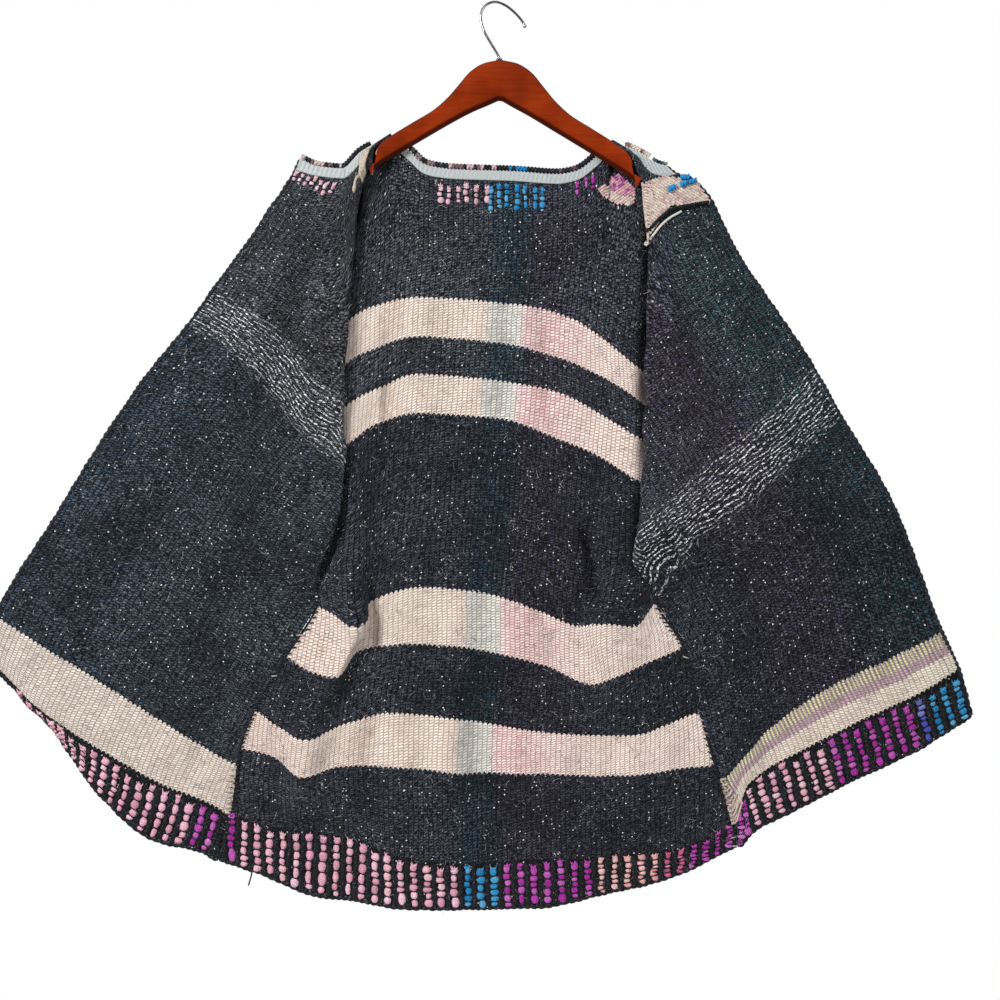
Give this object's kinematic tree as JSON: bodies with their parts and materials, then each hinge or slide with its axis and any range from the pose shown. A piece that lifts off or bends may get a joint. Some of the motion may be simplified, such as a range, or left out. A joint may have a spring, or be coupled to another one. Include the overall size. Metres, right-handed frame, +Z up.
{
  "type": "ruana wrap on a wooden hanger",
  "caption": "Heavy woven ruana wrap with pale stripes and dotted borders, hung open on a wooden hanger with a steel hook.",
  "frame": {"origin": "inside top of the hanger's hook, where a rail carries it", "axes": "+X to the right and +Y away from someone who looks into the open wrap, +Z up"},
  "size_m": [1.3699, 0.069, 1.2773],
  "materials": {
    "hanger_wood": "cherry stain under gloss lacquer",
    "hanger_steel": "polished steel wire",
    "back_cloth": "weft-faced handwoven wool",
    "left_front_cloth": "weft-faced handwoven wool",
    "right_front_cloth": "weft-faced handwoven wool",
    "tape": "grey cotton twill tape",
    "neck_roll": "edge of the cloth, rolled over",
    "pale_yarn": "whip-stitched pale wool yarn"
  },
  "bodies": {
    "root": {"hanger_body": "hanger_wood", "hanger_hook": "hanger_steel", "back_panel": "back_cloth", "left_front": "left_front_cloth", "right_front": "right_front_cloth", "back_neck_tape": "tape", "left_neck_tape": "tape", "right_neck_tape": "tape", "back_neck_roll": "neck_roll", "left_neck_roll": "neck_roll", "right_neck_roll": "neck_roll", "right_shoulder_roll": "pale_yarn", "left_shoulder_tuft": "pale_yarn", "right_neck_knot": "pale_yarn", "right_armhole_knot": "pale_yarn"}
  },
  "joints": []
}
